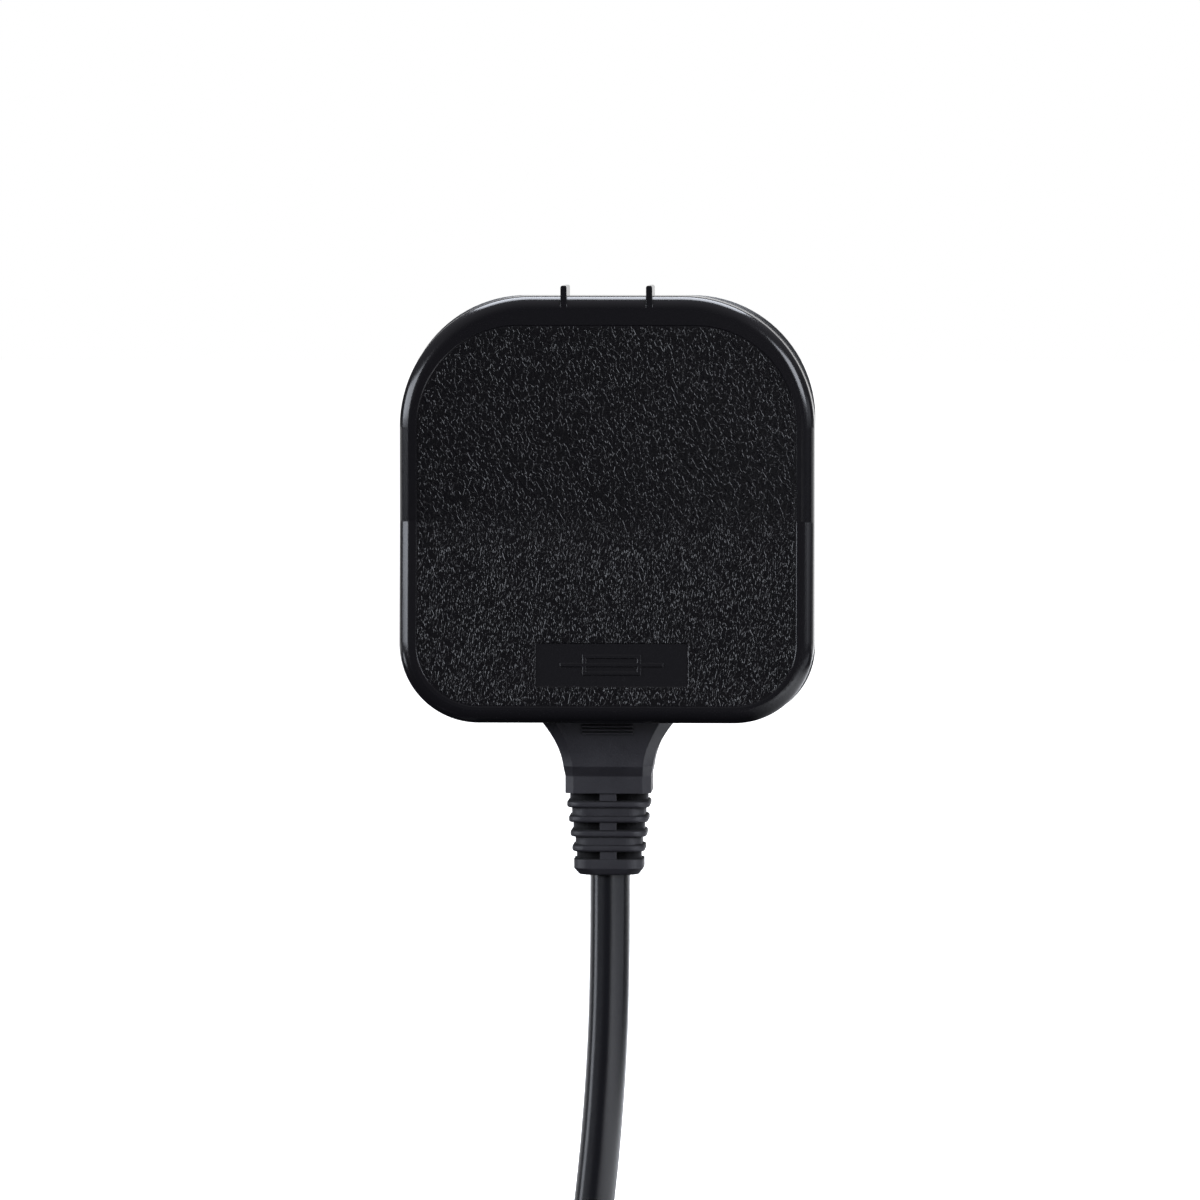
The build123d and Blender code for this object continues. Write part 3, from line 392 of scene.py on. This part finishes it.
def woven_nylon():
    """Strap of black nylon: a weave of half a millimetre with lint on it."""
    material, tree, place = start_finish("woven_black_nylon")
    threads = []
    for axis in (0, 1):
        value = add(tree, "SeparateXYZ", {0: place}, out=axis)
        value = add(tree, "Math", {0: value, 1: WEAVE_PER_MM}, operation="MULTIPLY")
        threads.append(add(tree, "Math", {0: value}, operation="SINE"))
    weave = add(tree, "Math", {0: threads[0], 1: threads[1]}, operation="MULTIPLY")
    lint = add(tree, "TexNoise", {"Vector": place, "Scale": 4.0, "Detail": 3.0, "Roughness": 0.7})
    relief = add(tree, "Math", {0: lint, 1: 0.8, 2: weave}, operation="MULTIPLY_ADD")
    base = add(
        tree, "Mix", {0: lint, 6: colour("#1b1b1d"), 7: colour("#2c2c2f")}, out=2, data_type="RGBA"
    )
    direction = add(tree, "Bump", {"Strength": 1.0, "Distance": 0.05 * MM, "Height": relief})
    end_finish(tree, base, 0.8, direction, sheen_weight=0.3, sheen_roughness=0.5)
    return material


# Soft vinyl moulded over the plug: a black gone grey, nearly dull, with a fine grain
vinyl = grained_plastic(
    "overmoulded_black_vinyl", "#29282d", "#323136", grain_per_mm=4.2, grain_depth=0.02, rough=0.5, edge=0.16
)
# ABS from a blasted mould: black, even and dull beside the polished cover
blasted_abs = grained_plastic(
    "blasted_black_abs", "#131314", "#18181a", grain_per_mm=5.0, grain_depth=0.018, rough=0.4, edge=0.15,
    level=0.45,
)
# Nylon slipped over the pins: black with a satin gloss
sleeve_nylon = grained_plastic(
    "black_sleeve_nylon", "#161617", "#1c1c1e", grain_per_mm=5.5, grain_depth=0.01, rough=0.4, edge=0.1
)
# Nylon filled with glass for the stiff pin: black, glossier than the shell around it
filled_nylon = grained_plastic(
    "glass_filled_black_nylon", "#141415", "#1a1a1b", grain_per_mm=5.0, grain_depth=0.012, rough=0.36,
    edge=0.12,
)
# Nylon dyed in the mass: a dark brownish red that tells the fuse's owner where to pull
red_nylon = grained_plastic(
    "oxide_red_nylon", "#7c1d17", "#8b231b", grain_per_mm=5.0, grain_depth=0.012, rough=0.38, edge=0.12
)
# Plain nylon inside the shell: light grey and softly dull
grey_nylon = grained_plastic(
    "light_grey_nylon", "#a8a8a4", "#b4b4b0", grain_per_mm=5.0, grain_depth=0.012, rough=0.45, edge=0.12
)
# Brass bar, polished: yellow with clear reflections, where the rolled sheet is browner and duller
brass_pin = drawn_metal("polished_brass_bar", "#b89a5c", "#cdb070", 0.16)
brass_sheet = drawn_metal("rolled_brass_sheet", "#ad8a4a", "#c4a25e", 0.24)
# Nickel plating: a warm silver with the sharpest reflections, where tinning is greyer and softer
nickel = drawn_metal("nickel_plated_brass", "#b9b3a6", "#cac5ba", 0.14)
tin = drawn_metal("tinned_brass_tube", "#b8b09a", "#c7c1ae", 0.3)
# Zinc plating on screws: a cool grey, speckled with no direction
zinc = drawn_metal("zinc_plated_steel", "#a9adad", "#bfc3c2", 0.22, (1.0, 1.0, 1.0))

# Every piece in its material
dress = {
    "cover": spark_textured_abs(),
    "base": blasted_abs,
    "insulating_plate": pressed_board(),
    "screw_left": zinc,
    "screw_right": zinc,
    "line_pin": brass_pin,
    "neutral_pin": brass_pin,
    "line_pin_sleeve": sleeve_nylon,
    "neutral_pin_sleeve": sleeve_nylon,
    "earth_pin": filled_nylon,
    "fuse_tube": glazed_steatite(),
    "fuse_link": tin,
    "fuse_cap_left": nickel,
    "fuse_cap_right": nickel,
    "fuse_carrier": red_nylon,
    "line_clip": brass_sheet,
    "load_clip": brass_sheet,
    "neutral_contact": brass_sheet,
    "line_contact": brass_sheet,
    "socket_block": grey_nylon,
    "inner_plug": vinyl,
    "plug_pin_left": nickel,
    "plug_pin_right": nickel,
    "plug_pin_left_sleeve": sleeve_nylon,
    "plug_pin_right_sleeve": sleeve_nylon,
    "cord_tie": woven_nylon(),
    "connector_body": vinyl,
    "connector_contact_left": tin,
    "connector_contact_right": tin,
}
for name, material in dress.items():
    mesh = nodes[name].data
    if not mesh.materials:
        mesh.materials.append(material)
    for slot in range(len(mesh.materials)):
        mesh.materials[slot] = material


def coil_points():
    """The coil's turns, each round for its first half and moving over by one diameter in its second."""
    inner_turn = COIL_OUTER_TURN - (COIL_TURNS_ACROSS - 1) * CORD_DIAMETER
    points = []
    for count in range(-1, int(COIL_TURNS * POINTS_PER_TURN)):
        turn = (count + 0.5) / POINTS_PER_TURN
        from_outside = max(min(turn, COIL_TURNS - turn), 0.0)
        whole = math.floor(from_outside)
        shift = 0.5 - 0.5 * math.cos(math.pi * max(2 * (from_outside - whole) - 1, 0.0))
        radius = max(COIL_OUTER_TURN - CORD_DIAMETER * (whole + shift), inner_turn)
        climb = min(max((turn - CLIMB_FROM) / (CLIMB_TO - CLIMB_FROM), 0.0), 1.0)
        radius -= CLIMB_DIP * math.sin(math.pi * climb) ** 2
        height = COIL_BOTTOM_Z + (COIL_TOP_Z - COIL_BOTTOM_Z) * (0.5 - 0.5 * math.cos(math.pi * climb))
        angle = math.pi / 2 + 2 * math.pi * turn
        # The curve runs inside its control points, so they stand a little outside the turn
        control = radius / math.cos(HALF_STEP)
        points.append((COIL_X + control * math.cos(angle), COIL_Y + control * math.sin(angle), height))
    return points


def way_out():
    """The end bends inwards over the coil and goes straight into the connector that lies on it."""
    line = []
    control = EXIT_BEND / math.cos(HALF_STEP)
    middle_y = EXIT_BEND - COIL_OUTER_TURN
    for count in range(POINTS_PER_TURN // 4):
        angle = 2 * math.pi * (count + 0.5) / POINTS_PER_TURN - math.pi / 2
        line.append((EXIT_X - EXIT_BEND + control * math.cos(angle), middle_y + control * math.sin(angle)))
    line += [(EXIT_X, y) for y in EXIT_END]
    return [(COIL_X + x, COIL_Y + y, COIL_TOP_Z + rise) for (x, y), rise in zip(line, EXIT_RISES)]


def cord_points():
    """The lead's own line: the route down, the coil's turns and the way out to the connector."""
    points = [(x, -PLUG_DEPTH, z) for x, z in CORD_ROUTE] + coil_points()
    points[-1] = (*points[-1][:2], COIL_TOP_Z + LAST_TURN_RISE)
    return points + way_out()


def make_cord():
    """One open NURBS line through the whole lead, as round as the real jacket."""
    line = bpy.data.curves.new("lead", "CURVE")
    line.dimensions = "3D"
    line.bevel_depth = CORD_DIAMETER / 2 * MM
    line.bevel_resolution = 6
    line.use_fill_caps = True
    points = cord_points()
    spline = line.splines.new("NURBS")
    spline.points.add(len(points) - 1)
    for point, (x, y, z) in zip(spline.points, points):
        point.co = (x * MM, y * MM, z * MM, 1.0)
    spline.order_u = 3
    spline.use_endpoint_u = True
    spline.resolution_u = 8
    cord = bpy.data.objects.new("lead", line)
    bpy.context.scene.collection.objects.link(cord)
    line.materials.append(extruded_vinyl())
    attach(cord, "housing")
    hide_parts("cord", "cord_coil")


def shows_white(tree, reach):
    """1 where white shows: all over to the camera, and to gloss and glass as far as the reach says."""
    mirrored = add(tree, "LightPath", out="Is Glossy Ray")
    through = add(tree, "LightPath", out="Is Transmission Ray")
    followed = add(tree, "Math", {0: mirrored, 1: through}, operation="ADD")
    backdrop = add(tree, "Math", {0: followed, 1: reach}, operation="MULTIPLY")
    seen = add(tree, "LightPath", out="Is Camera Ray")
    return add(tree, "Math", {0: backdrop, 1: seen}, operation="MAXIMUM")


def white_paper():
    """Paper sweep: white to the camera with the object's shadow on it, and mostly dark to gloss."""
    material, tree, place = start_finish("white_paper_sweep")
    fibres = add(tree, "TexNoise", {"Vector": place, "Scale": 0.8})
    paper = add(
        tree, "Mix", {0: fibres, 6: colour("#f1f1f1"), 7: colour("#f5f5f5")}, out=2, data_type="RGBA"
    )
    # Gloss sees white far behind the object, and in a strip that shows on the right of neck and lead
    depth = add(tree, "SeparateXYZ", {0: place}, out=1)
    far_back = add(tree, "MapRange", {"Value": depth, "From Min": FAR_PAPER[0], "From Max": FAR_PAPER[1]})
    side = add(tree, "SeparateXYZ", {0: place}, out=0)
    rising = {"Value": side, "From Min": STRIP_STARTS[0], "From Max": STRIP_STARTS[1]}
    falling = {
        "Value": side,
        "From Min": STRIP_ENDS[0],
        "From Max": STRIP_ENDS[1],
        "To Min": STRIP_WHITE,
        "To Max": 0.0,
    }
    edges = {0: add(tree, "MapRange", rising), 1: add(tree, "MapRange", falling)}
    strip = add(tree, "Math", edges, operation="MULTIPLY")
    reach = add(tree, "Math", {0: far_back, 1: strip}, operation="MAXIMUM")
    white = shows_white(tree, reach)
    # Far from the lamps the paper glows more, so that the horizon stays white
    strength = {"Value": depth, "From Min": 500.0, "From Max": 1500.0, "To Min": 0.75, "To Max": 1.0}
    glow = add(tree, "Emission", {"Strength": add(tree, "MapRange", strength)})
    lifted = add(tree, "AddShader", {0: add(tree, "BsdfDiffuse", {"Color": paper}), 1: glow})
    dark = add(tree, "BsdfDiffuse", {"Color": colour("#181818")})
    add(tree, "OutputMaterial", {"Surface": add(tree, "MixShader", {0: white, 1: dark, 2: lifted})})
    return material


def make_floor():
    """A wide floor of paper just under the coil."""
    mesh = bpy.data.meshes.new("floor")
    size = FLOOR_HALF_WIDTH * MM
    low = cad_low.z - FLOOR_GAP * MM
    corners = [(-size, -size, low), (size, -size, low), (size, size, low), (-size, size, low)]
    mesh.from_pydata(corners, [], [(0, 1, 2, 3)])
    floor = bpy.data.objects.new("floor", mesh)
    bpy.context.scene.collection.objects.link(floor)
    mesh.materials.append(white_paper())


def make_world():
    """White to the camera and behind the object, and a darkened studio on the camera's side."""
    world = bpy.data.worlds.new("studio")
    bpy.context.scene.world = world
    world.use_nodes = True
    tree = world.node_tree
    tree.nodes.clear()
    direction = add(tree, "TexCoord", out="Generated")
    # Gloss sees all of the white within 14 degrees of straight back, and none of it past 32
    depth = add(tree, "SeparateXYZ", {0: direction}, out=1)
    behind = add(tree, "MapRange", {"Value": depth, "From Min": 0.85, "From Max": 0.97})
    white = shows_white(tree, behind)
    height = add(tree, "SeparateXYZ", {0: direction}, out=2)
    above = add(tree, "MapRange", {"Value": height, "From Min": 0.1, "From Max": 0.9})
    studio = add(
        tree, "Mix", {0: above, 6: (0.05, 0.05, 0.052, 1), 7: (0.3, 0.3, 0.31, 1)}, out=2, data_type="RGBA"
    )
    light = add(tree, "Mix", {0: white, 6: studio, 7: (1, 1, 1, 1)}, out=2, data_type="RGBA")
    add(tree, "OutputWorld", {"Surface": add(tree, "Background", {"Color": light, "Strength": 1.0})})


def softbox(name, place, target, width, height, power):
    """A rectangular soft light at a place and facing a target, all in metres."""
    data = bpy.data.lights.new(name, "AREA")
    data.shape = "RECTANGLE"
    data.size = width
    data.size_y = height
    data.energy = power
    data.color = colour(LAMP_TINT)[:3]
    lamp = bpy.data.objects.new(name, data)
    lamp.location = place
    lamp.rotation_mode = "QUATERNION"
    lamp.rotation_quaternion = (Vector(target) - Vector(place)).to_track_quat("-Z", "Y")
    bpy.context.scene.collection.objects.link(lamp)


def make_lights():
    """One wide light overhead and behind, three at the sides, and low ones for the neck and the lead."""
    softbox("top_softbox", (0.0, 0.36, 0.95), (0, 0, 0), 1.0, 0.7, 20.0)
    softbox("left_softbox", (-0.89, -0.42, 0.18), (0, 0, 0), 1.06, 0.3, 7.2)
    softbox("right_softbox", (0.78, -0.65, 0.37), (0, 0, 0), 0.6, 0.4, 6.5)
    softbox("right_rim_box", (0.9, -0.25, 0.12), (0, 0, 0), 0.8, 0.18, 0.4)
    softbox("left_low_strip", (-0.4, -0.05, -0.088), (0, -0.02, -0.06), 0.12, 0.055, 0.09)
    softbox("right_low_strip", (0.28, -0.24, -0.088), (0, -0.02, -0.06), 0.55, 0.06, 0.09)


def make_camera():
    """Far off, a little above and to the right, with the photograph's frame at the cover's plane."""
    data = bpy.data.cameras.new("camera")
    camera = bpy.data.objects.new("camera", data)
    bpy.context.scene.collection.objects.link(camera)
    bpy.context.scene.camera = camera
    azimuth = math.radians(CAMERA_AZIMUTH)
    elevation = math.radians(CAMERA_ELEVATION)
    back = Vector(
        (
            math.sin(azimuth) * math.cos(elevation),
            -math.cos(azimuth) * math.cos(elevation),
            math.sin(elevation),
        )
    )
    camera.location = Vector(CAMERA_TARGET) * MM + back * (CAMERA_DISTANCE * MM)
    camera.rotation_mode = "QUATERNION"
    camera.rotation_quaternion = (-back).to_track_quat("-Z", "Y")
    data.sensor_width = 36.0
    data.lens = data.sensor_width * CAMERA_DISTANCE / FRAME_WIDTH
    data.clip_start = 0.01
    data.clip_end = 50.0


make_cord()
make_floor()
make_world()
make_lights()
make_camera()
bpy.context.scene.view_settings.view_transform = "Standard"
